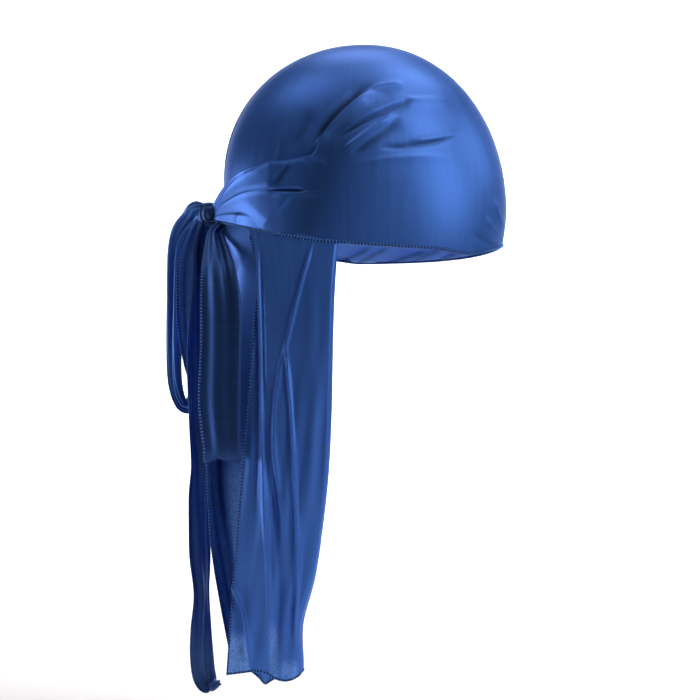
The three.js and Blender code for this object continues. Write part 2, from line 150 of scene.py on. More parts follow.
# Creases of the crown as seen from the side. Places are shares of reachFront and of height, and
# bow lifts the middle. A crease is a ridge of that height, or a valley where it is negative, in
# millimetres, with a flank of its own width on each side: left of the way it runs, and right.
# A valley also darkens the cloth's colour along it: painted shade.
# The broad last one on the right is the slack hollow between the temple and the strap's ridge:
# a shallow real hollow, which mostly paints broad shade into the colour there.
creaseLook = {"sharpness": 1.4, "shadeWidth": 0.8, "fullShade": 2.0}
creasesRight = rowsOf(
    "fromX fromZ toX toZ bow height left right",
    (-0.335, 0.436, 0.06, 0.725, 0.02, 3.6, 1.3, 8.5),
    (-0.36, 0.46, 0.04, 0.74, 0.02, -2.3, 4.5, 1.6),
    (-0.19, 0.505, 0.33, 0.694, 0.01, 1.3, 4.5, 1.7),
    (-0.18, 0.49, 0.33, 0.672, 0.01, -1.4, 1.6, 2.0),
    (0.27, 0.67, 0.56, 0.664, 0.008, 1.3, 1.5, 3.0),
    (-0.155, 0.425, 0.2, 0.602, 0.0, 2.0, 1.8, 1.7),
    (-0.1, 0.405, 0.23, 0.575, 0.0, -1.2, 2.0, 5.0),
    (0.1, 0.44, 0.6, 0.5, -0.012, -1.5, 1.3, 1.6),
    (0.3, 0.475, 0.66, 0.535, -0.012, 1.2, 2.8, 1.5),
    (-0.06, 0.365, 0.75, 0.395, 0.025, 0.7, 1.4, 3.4),
    (0.04, 0.725, 0.26, 0.75, 0.01, 1.0, 1.8, 2.0),
    (-0.62, 0.375, -0.53, 0.56, 0.0, 0.9, 1.2, 0.8),
    (-0.5, 0.45, -0.36, 0.62, -0.01, -0.7, 5.0, 3.0),
    (0.985, 0.05, 0.83, 0.15, 0.015, 1.2, 1.5, 1.1),
    (0.99, 0.11, 0.9, 0.24, 0.01, 1.0, 1.6, 1.1),
    (0.96, 0.03, 0.72, 0.075, 0.01, -0.8, 1.6, 1.4),
    (-0.08, 0.64, -0.56, -0.06, 0.0, -1.0, 20.0, 18.0),
)
creasesLeft = rowsOf(
    "fromX fromZ toX toZ bow height left right",
    (-0.34, 0.44, 0.05, 0.7, 0.01, 3.2, 2.4, 9.0),
    (-0.2, 0.47, 0.3, 0.66, 0.012, 1.8, 1.3, 4.0),
    (-0.1, 0.41, 0.25, 0.56, 0.0, 1.4, 1.6, 2.8),
    (0.1, 0.42, 0.58, 0.475, -0.01, -1.2, 1.2, 1.8),
    (-0.05, 0.34, 0.7, 0.37, 0.022, 0.7, 1.6, 3.4),
    (-0.6, 0.37, -0.52, 0.54, 0.0, 0.8, 1.5, 1.0),
    (0.985, 0.06, 0.85, 0.18, 0.012, 1.0, 1.6, 1.2),
    (-0.2, -0.02, 0.06, 0.07, 0.004, -1.1, 1.6, 2.6),
    (-0.06, -0.02, 0.2, 0.075, 0.004, -0.9, 1.6, 2.6),
    (0.16, -0.02, 0.5, 0.05, 0.004, -1.2, 1.6, 2.6),
    (0.36, -0.01, 0.66, 0.08, 0.0, -0.9, 1.5, 2.4),
    (0.56, 0.0, 0.86, 0.07, 0.0, -1.1, 1.5, 2.4),
)


def planReach(turn):
    reach = np.where(np.cos(turn) > 0, crown["reachFront"], crown["reachBack"])
    along = np.abs(np.cos(turn)) / reach
    across = np.abs(np.sin(turn)) / crown["halfWidth"]
    power = crown["planPower"]
    return (along ** power + across ** power) ** (-1 / power)


def shoulderHeight(turn):
    ahead = np.cos(turn) ** 2
    end = np.where(np.cos(turn) > 0, crown["shoulderFront"], crown["shoulderBack"])
    return ahead * end + (1 - ahead) * crown["shoulderSide"]


def crownReach(turn, height):
    shoulder = shoulderHeight(turn)
    tuck = 1 - crown["hemTuck"] * (np.maximum(shoulder - height, 0) / shoulder) ** 2
    rise = share((height - shoulder) / (crown["height"] - shoulder))
    cap = np.maximum(1 - rise ** crown["capPower"], 0) ** (1 / crown["capPower"])
    return planReach(turn) * np.where(height <= shoulder, tuck, cap)


# The height that creases add, and the painted shade of each place: how far its colour darkens
# for lying deep in a groove
def creaseLift(creases, x, z):
    lift, shade = np.zeros_like(x), np.zeros_like(x)
    for crease in creases:
        fromX, fromZ = crease["fromX"] * crown["reachFront"], crease["fromZ"] * crown["height"]
        runX = crease["toX"] * crown["reachFront"] - fromX
        runZ = crease["toZ"] * crown["height"] - fromZ
        run = math.hypot(runX, runZ)
        along = ((x - fromX) * runX + (z - fromZ) * runZ) / run ** 2
        middle = 4 * share(along) * (1 - share(along))
        off = ((z - fromZ) * runX - (x - fromX) * runZ) / run
        off = off - crease["bow"] * crown["height"] * middle
        fade = ease(-0.06, 0.2, along) * (1 - ease(0.74, 1.05, along))
        flank = np.where(off > 0, crease["left"], crease["right"]) * (0.75 + 0.5 * share(along))
        lift += fade * crease["height"] * np.exp(-np.abs(off / flank) ** creaseLook["sharpness"])
        depth = share(-crease["height"] / creaseLook["fullShade"])
        shade += fade * depth * np.exp(-(off / flank / creaseLook["shadeWidth"]) ** 2)
    return lift, share(shade)


def domePoint(turn, height, lift):
    reach = crownReach(turn, height)
    x, y = reach * np.cos(turn), reach * np.sin(turn)
    end = np.where(x > 0, crown["reachFront"], crown["reachBack"])
    shoulder = shoulderHeight(turn)
    above = np.maximum(height - shoulder, 0) / (crown["height"] - shoulder) ** 2
    outward = np.stack([x / end ** 2, y / crown["halfWidth"] ** 2, above], axis=-1)
    outward /= np.linalg.norm(outward, axis=-1, keepdims=True)
    surface = np.stack([x, y, np.broadcast_to(height, x.shape)], axis=-1)
    return surface + outward * lift[..., None]


def crownLift(side, turn, height):
    x = crownReach(turn, height) * np.cos(turn)
    creases = creasesRight if side < 0 else creasesLeft
    slack = crown["slack"] * np.sin(x / 17.0 + 1.3) * np.sin(height / 23.0 + 0.4 * side)
    lift, shade = creaseLift(creases, x, height + 0 * x)
    return lift + slack * ease(0, 40, crown["height"] - height), shade


def hemHeight(side, place):
    return crown["hemRise"] * readRows(hemRows, "right" if side < 0 else "left", place)


def crownEdge(side, place):
    return hemHeight(side, place) + crown["strapStep"] * ease(0.53, 0.57, place)


# The crown's cloth laid flat
def crownCloth(turn, height):
    return np.stack([turn * crown["clothRadius"], height * crown["clothRise"]], axis=-1)


# Materials

satinLook = {
    "color": (0.045, 0.14, 0.5),
    "deepColor": (0.035, 0.112, 0.425),
    "grooveShadeColor": (0.008, 0.028, 0.1),
    "thinColor": (0.2, 0.42, 1.0),    # painted light: the paler colour where one layer lets light through
    "roughness": 0.42,
    "metallic": 0.55,
    "anisotropic": 0.4,
    "sheen": 0.04,
    "coat": 0.04,
    "floatScale": 1500.0,             # floats to a metre across the cloth
    "slubScale": 260.0,
    "patchScale": 9.0,
    "speckScale": 900.0,
    "relief": 0.0002,
}
threadLook = {"color": (0.08, 0.25, 0.75), "lightColor": (0.16, 0.42, 1.0), "roughness": 0.5,
              "specular": 0.2, "noiseScale": 900.0, "relief": 0.0002}
rollLook = {"color": (0.007, 0.026, 0.115), "lightColor": (0.012, 0.044, 0.19), "roughness": 0.5,
            "specular": 0.1, "noiseScale": 420.0, "relief": 0.0003}


def addNode(tree, kind, **values):
    node = tree.nodes.new(kind)
    for name, value in values.items():
        setattr(node, name, value)
    return node


def link(tree, source, output, target, socket):
    tree.links.new(source.outputs[output], target.inputs[socket])


def setSockets(node, values):
    for label, value in values.items():
        node.inputs[label].default_value = value


def mathNode(tree, operation, first, second):
    node = addNode(tree, "ShaderNodeMath", operation=operation)
    for index, value in enumerate((first, second)):
        if isinstance(value, (int, float)):
            node.inputs[index].default_value = value
        else:
            tree.links.new(value, node.inputs[index])
    return node.outputs[0]


def startMaterial(name):
    material = bpy.data.materials.new(name)
    material.use_nodes = True
    tree = material.node_tree
    return material, tree, tree.nodes["Principled BSDF"]


def addNoise(tree, place, output, scale, detail=2.0):
    noise = addNode(tree, "ShaderNodeTexNoise")
    setSockets(noise, {"Scale": scale, "Detail": detail})
    link(tree, place, output, noise, "Vector")
    return noise


# Noise in streaks along the cloth, so many to a metre across it
def addStreaks(tree, place, scale, stretch, detail):
    mapping = addNode(tree, "ShaderNodeMapping")
    mapping.inputs["Scale"].default_value = (scale, scale / stretch, 1)
    link(tree, place, "UV", mapping, "Vector")
    return addNoise(tree, mapping, "Vector", 1.0, detail)


def mixColors(tree, factor, output, first, second):
    colors = addNode(tree, "ShaderNodeMix", data_type="RGBA")
    setSockets(colors, {"A": (*first, 1), "B": (*second, 1)})
    link(tree, factor, output, colors, "Factor")
    return colors


def addBump(tree, shader, height, strength, distance):
    bump = addNode(tree, "ShaderNodeBump")
    setSockets(bump, {"Strength": strength, "Distance": distance})
    tree.links.new(height, bump.inputs["Height"])
    link(tree, bump, "Normal", shader, "Normal")


# Polyester satin: fine floats along the cloth, faint slubs and a soft coloured gloss. The mesh's
# shade attribute darkens its colour in grooves, painted shade; lightness and pale give lighter and
# darker copies, painted light and shade; and a paler speckled colour where one layer hangs alone
# is painted light coming through it
def makeSatin(name, lightness=1.0, gloss=1.0, pale=(0.0, 0.0, 0.0), thin=False):
    material, tree, shader = startMaterial(name)
    place = addNode(tree, "ShaderNodeUVMap", uv_map="cloth")
    coords = addNode(tree, "ShaderNodeTexCoord")
    slub = addStreaks(tree, place, satinLook["slubScale"], 14, 3.0)
    patches = addNoise(tree, coords, "Object", satinLook["patchScale"])
    ramp = addNode(tree, "ShaderNodeMapRange")
    setSockets(ramp, {"From Min": 0.7, "From Max": 1.3})
    blend = mathNode(tree, "ADD", slub.outputs["Fac"], patches.outputs["Fac"])
    tree.links.new(blend, ramp.inputs["Value"])
    # lightness scales the colours: below 1 a painted-shade copy of the satin, above 1 a
    # painted-light copy
    deep = tuple(value * lightness + more for value, more in zip(satinLook["deepColor"], pale))
    plain = tuple(value * lightness + more for value, more in zip(satinLook["color"], pale))
    colors = mixColors(tree, ramp, "Result", deep, plain)
    # painted shade: the shade attribute darkens the colour towards a near-black blue in grooves
    grooveShadeMask = addNode(tree, "ShaderNodeAttribute", attribute_name="shade")
    shaded = mixColors(tree, grooveShadeMask, "Fac", deep, satinLook["grooveShadeColor"])
    link(tree, colors, "Result", shaded, "A")
    # painted light coming through one layer: a paler speckled colour over the mask
    if thin:
        mask = addNode(tree, "ShaderNodeAttribute", attribute_name="thin")
        weave = addNoise(tree, coords, "Object", satinLook["speckScale"])
        specks = mathNode(tree, "MULTIPLY_ADD", weave.outputs["Fac"], 2.4)
        specks.node.inputs[2].default_value = -0.55
        amount = mathNode(tree, "MULTIPLY", mask.outputs["Fac"], specks).node
        amount.use_clamp = True
        lit = mixColors(tree, amount, "Value", deep, satinLook["thinColor"])
        link(tree, shaded, "Result", lit, "A")
        shaded = lit
    link(tree, shaded, "Result", shader, "Base Color")
    rough = addNode(tree, "ShaderNodeMapRange")
    setSockets(rough, {"To Min": satinLook["roughness"] - 0.04,
                       "To Max": satinLook["roughness"] + 0.05})
    link(tree, slub, "Fac", rough, "Value")
    link(tree, rough, "Result", shader, "Roughness")
    floats = addStreaks(tree, place, satinLook["floatScale"], 9, 2.0)
    relief = mathNode(tree, "ADD", floats.outputs["Fac"], slub.outputs["Fac"])
    addBump(tree, shader, relief, 0.15, satinLook["relief"])
    tangent = addNode(tree, "ShaderNodeTangent", direction_type="UV_MAP", uv_map="cloth")
    link(tree, tangent, "Tangent", shader, "Tangent")
    setSockets(shader, {
        "Metallic": satinLook["metallic"] * gloss,
        "Anisotropic": satinLook["anisotropic"],
        "Sheen Weight": satinLook["sheen"],
        "Sheen Roughness": 0.35,
        "Sheen Tint": (0.25, 0.4, 0.95, 1),
        "Coat Weight": satinLook["coat"],
        "Coat Roughness": 0.5,
        "Specular Tint": (0.45, 0.65, 1, 1),
    })
    return material


# Overlock thread, and the rolled cloth under it, which has no flat place: matte, with faint
# noise on Object coordinates
def makeMatte(name, look):
    material, tree, shader = startMaterial(name)
    coords = addNode(tree, "ShaderNodeTexCoord")
    fuzz = addNoise(tree, coords, "Object", look["noiseScale"])
    colors = mixColors(tree, fuzz, "Fac", look["color"], look["lightColor"])
    link(tree, colors, "Result", shader, "Base Color")
    addBump(tree, shader, fuzz.outputs["Fac"], 0.3, look["relief"])
    setSockets(shader, {"Roughness": look["roughness"], "Specular IOR Level": look["specular"]})
    return material


rolledEdge = makeMatte("rolledEdge", rollLook)
satin = makeSatin("blueSatin")
# Lighter and darker copies of the satin stand in for how light falls on each part: the two darker
# copies (wide loop; long end and knot) are painted shade, the end and tail copies painted light.
satinDeepShade = makeSatin("blueSatinShaded", 0.42, 1.2)
satinShade = makeSatin("blueSatinPaintedShade", 0.56, 0.65, (0.01, 0.014, 0.0))
satinEndLit = makeSatin("blueSatinEndPaintedLight", 1.15, 0.7, (0.02, 0.035, 0.03))
satinTailLit = makeSatin("blueSatinTailPaintedLight", 1.14, 0.82, thin=True)
# The wrong side of the cloth: matte and a little paler, as real satin's is, and much paler still as
# painted light, standing in for light that comes through the thin cloth.
wrongSidePaleLit = makeSatin("satinWrongSidePaleAndLit", 1.2, 0.1, (0.26, 0.39, 0.43))
thread = makeMatte("overlockThread", threadLook)
print("durag: materials made")


# Meshes

def addToScene(obj):
    bpy.context.scene.collection.objects.link(obj)
    return obj


# Turns an object and its modifiers into one plain mesh
def applyModifiers(obj):
    graph = bpy.context.evaluated_depsgraph_get()
    mesh = bpy.data.meshes.new_from_object(obj.evaluated_get(graph))
    obj.modifiers.clear()
    old = obj.data
    obj.data = mesh
    bpy.data.meshes.remove(old)
    mesh.name = obj.name
    mesh.shade_smooth()


# A quad grid of points in millimetres, with cloth, the flat place of each, as its UV map
def gridObject(name, points, cloth, material, **masks):
    columns, rows = points.shape[:2]
    mesh = bpy.data.meshes.new(name)
    index = np.arange(columns * rows).reshape(columns, rows)
    corners = [index[:-1, :-1], index[1:, :-1], index[1:, 1:], index[:-1, 1:]]
    quads = np.stack(corners, axis=-1).reshape(-1, 4).tolist()
    mesh.from_pydata((points.reshape(-1, 3) * metre).tolist(), [], quads)
    flat = mesh.uv_layers.new(name="cloth")
    owners = np.empty(len(mesh.loops), np.int32)
    mesh.loops.foreach_get("vertex_index", owners)
    flat.data.foreach_set("uv", (cloth.reshape(-1, 2) * metre)[owners].ravel())
    for label, mask in masks.items():
        values = mesh.attributes.new(label, "FLOAT", "POINT")
        values.data.foreach_set("value", np.ascontiguousarray(mask, float).ravel())
    mesh.materials.append(material)
    return addToScene(bpy.data.objects.new(name, mesh))


def weld(obj, distance=1e-6):
    modifier = obj.modifiers.new("weld", "WELD")
    modifier.merge_threshold = distance


def thicken(obj, wall, offset=-1.0):
    modifier = obj.modifiers.new("wall", "SOLIDIFY")
    if len(obj.data.materials) > 1:
        modifier.material_offset = 1    # the wrong side of the cloth
    modifier.thickness = wall * metre
    modifier.offset = offset
    modifier.use_even_offset = False
    modifier.use_quality_normals = True


# The place of each grid point on the cloth laid flat, from the lengths along its lines
def flatPlace(points):
    alongU = np.linalg.norm(np.diff(points, axis=0), axis=-1).mean(axis=1)
    alongV = np.linalg.norm(np.diff(points, axis=1), axis=-1).mean(axis=0)
    u = np.concatenate([[0], np.cumsum(alongU)])
    v = np.concatenate([[0], np.cumsum(alongV)])
    return np.stack(np.meshgrid(u, v, indexing="ij"), axis=-1)


# Hems: a rolled edge with thread wound round it, made along a path by Geometry Nodes

hemLook = {"radius": 0.85, "pitch": 2.3, "threadRadius": 0.36, "lean": 28.0}


def addCircle(tree, source, radius, corners):
    circle = addNode(tree, "GeometryNodeCurvePrimitiveCircle")
    circle.inputs["Resolution"].default_value = corners
    link(tree, source, radius, circle, "Radius")
    return circle


def buildHemTree():
    tree = bpy.data.node_groups.new("overlockedHem", "GeometryNodeTree")
    face = tree.interface
    face.new_socket("Geometry", in_out="INPUT", socket_type="NodeSocketGeometry")
    face.new_socket("Geometry", in_out="OUTPUT", socket_type="NodeSocketGeometry")
    sizes = {"Radius": hemLook["radius"], "Pitch": hemLook["pitch"],
             "Thread Radius": hemLook["threadRadius"]}
    for label, value in sizes.items():
        socket = face.new_socket(label, in_out="INPUT", socket_type="NodeSocketFloat")
        socket.default_value = value * metre
    for label in ("Edge Material", "Thread Material"):
        face.new_socket(label, in_out="INPUT", socket_type="NodeSocketMaterial")
    source = addNode(tree, "NodeGroupInput")
    path = addNode(tree, "GeometryNodeMeshToCurve")
    link(tree, source, "Geometry", path, "Mesh")
    section = addCircle(tree, source, "Radius", 8)
    edge = addNode(tree, "GeometryNodeCurveToMesh")
    edge.inputs["Fill Caps"].default_value = True
    link(tree, path, "Curve", edge, "Curve")
    link(tree, section, "Curve", edge, "Profile Curve")
    edgeMaterial = addNode(tree, "GeometryNodeSetMaterial")
    link(tree, edge, "Mesh", edgeMaterial, "Geometry")
    link(tree, source, "Edge Material", edgeMaterial, "Material")
    spots = addNode(tree, "GeometryNodeResampleCurve", mode="LENGTH")
    link(tree, path, "Curve", spots, "Curve")
    link(tree, source, "Pitch", spots, "Length")
    strand = addCircle(tree, source, "Thread Radius", 3)
    loop = addNode(tree, "GeometryNodeCurveToMesh")
    link(tree, section, "Curve", loop, "Curve")
    link(tree, strand, "Curve", loop, "Profile Curve")
    tangent = addNode(tree, "GeometryNodeInputTangent")
    aim = addNode(tree, "FunctionNodeAlignRotationToVector", axis="Z")
    link(tree, tangent, "Tangent", aim, "Vector")
    lean = addNode(tree, "FunctionNodeRotateRotation", rotation_space="LOCAL")
    lean.inputs["Rotate By"].default_value = (math.radians(hemLook["lean"]), 0, 0)
    link(tree, aim, "Rotation", lean, "Rotation")
    stitches = addNode(tree, "GeometryNodeInstanceOnPoints")
    link(tree, spots, "Curve", stitches, "Points")
    link(tree, loop, "Mesh", stitches, "Instance")
    link(tree, lean, "Rotation", stitches, "Rotation")
    real = addNode(tree, "GeometryNodeRealizeInstances")
    link(tree, stitches, "Instances", real, "Geometry")
    threadMaterial = addNode(tree, "GeometryNodeSetMaterial")
    link(tree, real, "Geometry", threadMaterial, "Geometry")
    link(tree, source, "Thread Material", threadMaterial, "Material")
    join = addNode(tree, "GeometryNodeJoinGeometry")
    link(tree, edgeMaterial, "Geometry", join, "Geometry")
    link(tree, threadMaterial, "Geometry", join, "Geometry")
    end = addNode(tree, "NodeGroupOutput")
    link(tree, join, "Geometry", end, "Geometry")
    return tree


hemTree = buildHemTree()


# Sets a Geometry Nodes modifier's inputs by their sockets' identifiers
def setInputs(modifier, values):
    for item in modifier.node_group.interface.items_tree:
        if item.item_type == "SOCKET" and item.in_out == "INPUT" and item.name in values:
            modifier[item.identifier] = values[item.name]


# An overlocked edge along one or more paths of points in millimetres
def makeHem(name, paths, edgeMaterial, **sizes):
    points, edges = [], []
    for path in paths:
        first = len(points)
        points += (np.asarray(path) * metre).tolist()
        edges += [(first + i, first + i + 1) for i in range(len(path) - 1)]
    mesh = bpy.data.meshes.new(name)
    mesh.from_pydata(points, edges, [])
    obj = addToScene(bpy.data.objects.new(name, mesh))
    modifier = obj.modifiers.new("hem", "NODES")
    modifier.node_group = hemTree
    values = {label: size * metre for label, size in sizes.items()}
    values["Edge Material"] = edgeMaterial
    values["Thread Material"] = thread
    setInputs(modifier, values)
    applyModifiers(obj)
    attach(obj, "root")


# Crown halves

def makeCrownHalf(side):
    name = "crownRight" if side < 0 else "crownLeft"
    u = crowdedShares(crown["columns"], 0.45, 0.2, 1.8)[:, None]
    v = np.linspace(0, 1, crown["rows"] + 1)[None, :]
    turn = (-math.pi * u[::-1] if side < 0 else math.pi * u) + 0 * v
    place = np.abs(turn) / math.pi
    edge = crownEdge(side, place)
    height = edge + (crown["height"] - edge) * np.sin(v * math.pi / 2)
    lift, shade = crownLift(side, turn, height)
    points = domePoint(turn, height, lift - crown["inset"])
    points[..., 1] += side * crown["halfGap"]
    obj = gridObject(name, points, crownCloth(turn, height), satin, shade=shade)
    obj.data.materials.append(wrongSidePaleLit)
    weld(obj)
    thicken(obj, crown["wall"])
    applyModifiers(obj)
    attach(obj, "root")
    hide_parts("crown_right" if side < 0 else "crown_left")
    return obj, points, place[:, 0]


rightCrown, rightPoints, rightPlace = makeCrownHalf(-1)
leftCrown, leftPoints, leftPlace = makeCrownHalf(1)
print("durag: crown made")


# Straps: outer layers that leave the crown's side without a step and end in the knot.
# top is the height of the upper edge over the half turn.
strapLook = {
    "lift": 1.7,          # of the whole layer over the crown
    "roll": 1.1,          # more at its upper edge
    "rollWidth": 1.6,
    "pleat": 0.05,
    "leftFolds": 0.6,     # the left strap's folds, as a share of the right one's
    "endHeight": 11.0,    # at the knot
    "wall": 0.45,
    "columns": 200,
    "rows": 78,
}
strapTopRows = rowsOf(
    "at top",
    (0.34, 112.0), (0.42, 110.0), (0.478, 106.0), (0.533, 97.5), (0.5755, 88.5),
    (0.611, 79.5), (0.629, 73.0), (0.639, 67.2), (0.654, 62.0), (0.714, 59.5), (0.76, 58.8),
    (0.8, 56.7), (0.852, 54.4), (0.912, 50.5), (0.96, 44.0), (1.0, 36.0),
)

# Creases of a strap, read as those of the crown
strapCreases = rowsOf(
    "fromX fromZ toX toZ bow height left right",
    (-0.65, 0.258, -0.4, 0.248, 0.0, -2.2, 1.2, 0.9),
    (-0.62, 0.24, -0.26, 0.236, 0.002, 0.9, 0.9, 2.4),
    (-0.635, 0.42, -0.625, 0.25, 0.0, 1.7, 2.6, 13.0),
    (-0.49, 0.235, -0.7, 0.09, 0.0, 1.6, 2.8, 15.0),
    (-0.5, 0.385, -0.63, 0.27, 0.0, -1.2, 3.4, 2.0),
    (-0.96, 0.235, -0.62, 0.25, 0.014, 0.35, 1.3, 1.5),
    (-1.08, 0.18, -0.75, 0.13, 0.016, 0.4, 1.2, 2.8),
    (-0.86, 0.09, -0.855, 0.17, 0.0, 0.7, 0.9, 1.2),
    (-0.94, 0.3, -0.7, 0.37, 0.012, 0.7, 1.2, 2.2),
    (-0.46, 0.4, -0.24, 0.36, 0.0, 0.9, 1.5, 2.5),
)


def strapPoints(side):
    u = np.linspace(0, 1, strapLook["columns"] + 1)[:, None]
    v = np.linspace(0, 1, strapLook["rows"] + 1)[None, :]
    first = strapTopRows[0]["at"]
    place = first + (1 - first) * u ** 0.9 + 0 * v
    low = hemHeight(side, place)
    top = readRows(strapTopRows, "top", place)
    height = low + (top - low) * v
    turn = side * math.pi * np.minimum(place, 0.97)
    rest, shade = crownLift(side, turn, height)
    # the strap grows out of the crown slowly, but has a crisp, rolled upper edge
    cover = softEase(0.36, 0.64 - 0.08 * v ** 2, place)
    lift = strapLook["lift"] * cover - 0.05 * (1 - cover) ** 6
    rim = 1 - (1 - ease(0.6, 0.65, place)) * ease(0.7, 1, v)
    lift = lift * rim - crown["inset"] - 0.25 * (1 - rim)
    edge = np.exp(-((top - height) / strapLook["rollWidth"]) ** 2)
    lift += strapLook["roll"] * ease(0.6, 0.67, place) * edge
    x = crownReach(turn, height) * np.cos(turn)
    strength = 1.0 if side < 0 else strapLook["leftFolds"]
    own, ownShade = creaseLift(strapCreases, x, height + 0 * x)
    leave = 1 - ease(0.66, 0.75, place)    # where the strap no longer follows the crown's folds
    shade = share(shade * leave + ownShade * strength)
    onCrown = domePoint(turn, height, rest * leave + lift + own * strength)
    bulge = np.sin(5.2 * math.pi * v + 0.6) * np.sin(math.pi * share(v)) ** 0.5
    pleats = strapLook["pleat"] * ease(0.8, 0.98, place) * bulge
    outward = np.stack([np.cos(turn), np.sin(turn), 0 * turn], axis=-1)
    onCrown = onCrown + outward * pleats[..., None]
    inKnot = np.zeros_like(onCrown)
    inKnot[..., 0] = knotCentre[0] + 1.0
    inKnot[..., 1] = side * (knotHalf[1] - 2.0)
    inKnot[..., 2] = knotCentre[2] + (v - 0.5) * strapLook["endHeight"]
    pull = ease(0.84, 1.0, place)[..., None]
    points = onCrown * (1 - pull) + inKnot * pull
    points[..., 1] += side * crown["halfGap"]
    return points, place, height, shade


def makeStrap(side):
    points, place, height, shade = strapPoints(side)
    cloth = crownCloth(side * place * math.pi, height)
    if side < 0:
        points, cloth, place, shade = points[::-1], cloth[::-1], place[::-1], shade[::-1]
    name = "strapRight" if side < 0 else "strapLeft"
    obj = gridObject(name, points, cloth, satin, shade=shade)
    obj.data.materials.append(wrongSidePaleLit)
    thicken(obj, strapLook["wall"])
    applyModifiers(obj)
    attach(obj, "root")
    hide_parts("strap_right" if side < 0 else "strap_left")
    return obj, points[:, 0], place[:, 0]


strapRight, strapRightEdge, strapRightPlace = makeStrap(-1)
strapLeft, strapLeftEdge, strapLeftPlace = makeStrap(1)
print("durag: straps made")


# Tail: the section runs from the free edge of its outer layer forward to the fold beside the
# neck, then back as the inner layer and round to the free edge on the left.

tailLook = {
    "length": 297.0,
    "pleat": 6.0,
    "slack": 6.0,       # bulge of the inner layer under the back hem
    "notch": 5.0,       # step in the front fold
    "drop": 6.5,        # of the inner layer's lowest corner
    "ripple": 0.5,
    "overlap": 1.5,     # how far the top runs up past the crown's hem
    "outer": 0.2,       # of the outer layer's top from the crown's face, and of the inner's
    "inner": -0.9,
    "wall": 0.7,
    "columns": 300,
    "rows": 156,
}
tailRows = rowsOf(
    "at turn out x1 y1 x2 y2 x3 y3 reach",
    (0, -0.84, 1, -0.745, -0.77, -0.83, -0.74, -0.945, -0.6, 1.003),
    (5, -0.74, 1, -0.52, -0.9, -0.6, -0.86, -0.73, -0.7, 0.991),
    (10, -0.64, 1, -0.33, -0.97, -0.4, -0.9, -0.55, -0.73, 1.012),
    (13, -0.59, 1, -0.235, -0.99, -0.28, -0.9, -0.445, -0.72, 1.0),
    (14, -0.58, 0, -0.21, -0.94, -0.25, -0.84, -0.42, -0.66, 0.99),
    (20, -0.68, 0, -0.5, -0.8, -0.53, -0.73, -0.62, -0.53, 1.015),
    (26, -0.84, 0, -0.89, -0.5, -0.965, -0.4, -0.81, -0.36, 1.0),
    (32, -1, 0, -0.95, 0, -1.0, -0.04, -0.84, -0.1, 0.98),
    (37, -1.15, 0, -0.82, 0.52, -0.84, 0.32, -0.78, 0.17, 0.97),
    (41, -1.3, 0, -0.5, 0.79, -0.52, 0.56, -0.61, 0.33, 0.98),
    (44, -1.4, 0, -0.29, 0.88, -0.34, 0.66, -0.47, 0.42, 0.97),
)
tailDepths = [0.0, 0.12, 0.52, 1.0]
pleatRows = rowsOf(
    "at width depth",
    (23, 1.5, 0.6),
    (28.5, 1.4, -0.6),
    (32, 1.3, 0.65),
    (35.5, 1.4, -0.6),
    (39.5, 1.3, 0.5),
)

# Creases of the tail's outer layer as seen from the side: three places each, top, middle and
# bottom, in millimetres, and the depth, width and neighbouring ridge as on the crown.
tailCreases = rowsOf(
    "topX topZ midX midZ lowX lowZ depth width rise side",
    (-75.5, 8, -71.8, -125, -66, -268, -1.7, 1.2, -0.9, 1),
    (-77.5, -5, -75.5, -80, -77.0, -180, 2.4, 1.9, 0.0, 1),
    (-36.6, 2, -47.0, -36, -56.5, -76, -1.9, 1.2, -0.9, -1),
    (-56.0, -66, -63.6, -126, -56.7, -200, -1.6, 1.8, -1.1, -1),
    (-55.0, -66, -49.8, -140, -45.5, -278, -2.2, 1.6, -1.3, -1),
    (-96.0, -228, -85.0, -254, -79.5, -288, -2.6, 2.0, -1.4, -1),
    (-66.0, -150, -61.0, -215, -60.0, -290, 2.2, 3.2, 0.6, -1),
    (-36.0, -20, -36.5, -120, -38.0, -215, -1.2, 4.0, 0.0, 1),
)


def pleatLift(place):
    lift = np.zeros_like(place)
    for pleat in pleatRows:
        shape = np.exp(-((place - pleat["at"]) / pleat["width"]) ** 2)
        lift += pleat["depth"] * tailLook["pleat"] * shape
    return lift


def tailCreaseLift(x, z):
    lift = np.zeros_like(x)
    for crease in tailCreases:
        depths = [-crease["topZ"], -crease["midZ"], -crease["lowZ"]]
        spots = [crease["topX"], crease["midX"], crease["lowX"]]
        line = readCurve(np.array(depths, float), np.array(spots, float), -z)
        along = (-z - depths[0]) / (depths[2] - depths[0])
        fade = ease(-0.06, 0.16, along) * (1 - ease(0.8, 1.06, along))
        off = x - line
        width = crease["width"] * (0.85 + 0.3 * share(along))
        beside = np.exp(-((off - 2.0 * crease["side"] * width) / (1.4 * width)) ** 2)
        lift += fade * (crease["rise"] * beside - crease["depth"] * np.exp(-(off / width) ** 2))
    return lift


def tailPoint(place, depth):
    turn = readRows(tailRows, "turn", place) * math.pi
    wrapped = np.where(turn < -math.pi, turn + 2 * math.pi, turn)
    halfTurn = np.abs(wrapped) / math.pi
    edge = np.where(wrapped < 0, crownEdge(-1, halfTurn), crownEdge(1, halfTurn))
    topHeight = edge + tailLook["overlap"]
    out = readRows(tailRows, "out", place)
    step = tailLook["inner"] + out * (tailLook["outer"] - tailLook["inner"])
    topReach = crownReach(turn, topHeight) + step
    spot = []
    for column, start, size in (("x", np.cos(turn), crown["reachBack"]),
                                ("y", np.sin(turn), crown["halfWidth"])):
        levels = [readRows(tailRows, column + level, place) * size for level in "123"]
        stack = np.stack([topReach * start, *levels])[:, :, 0]
        spot.append(np.stack([readCurve(np.array(tailDepths), stack[:, i], depth[i])
                              for i in range(stack.shape[1])]))
    bottom = -tailLook["length"] * readRows(tailRows, "reach", place)
    bottom = bottom - tailLook["drop"] * np.exp(-((place - 22.5) / 1.6) ** 2)
    z = topHeight + (bottom - topHeight) * depth
    return np.stack([spot[0], spot[1], z], axis=-1)


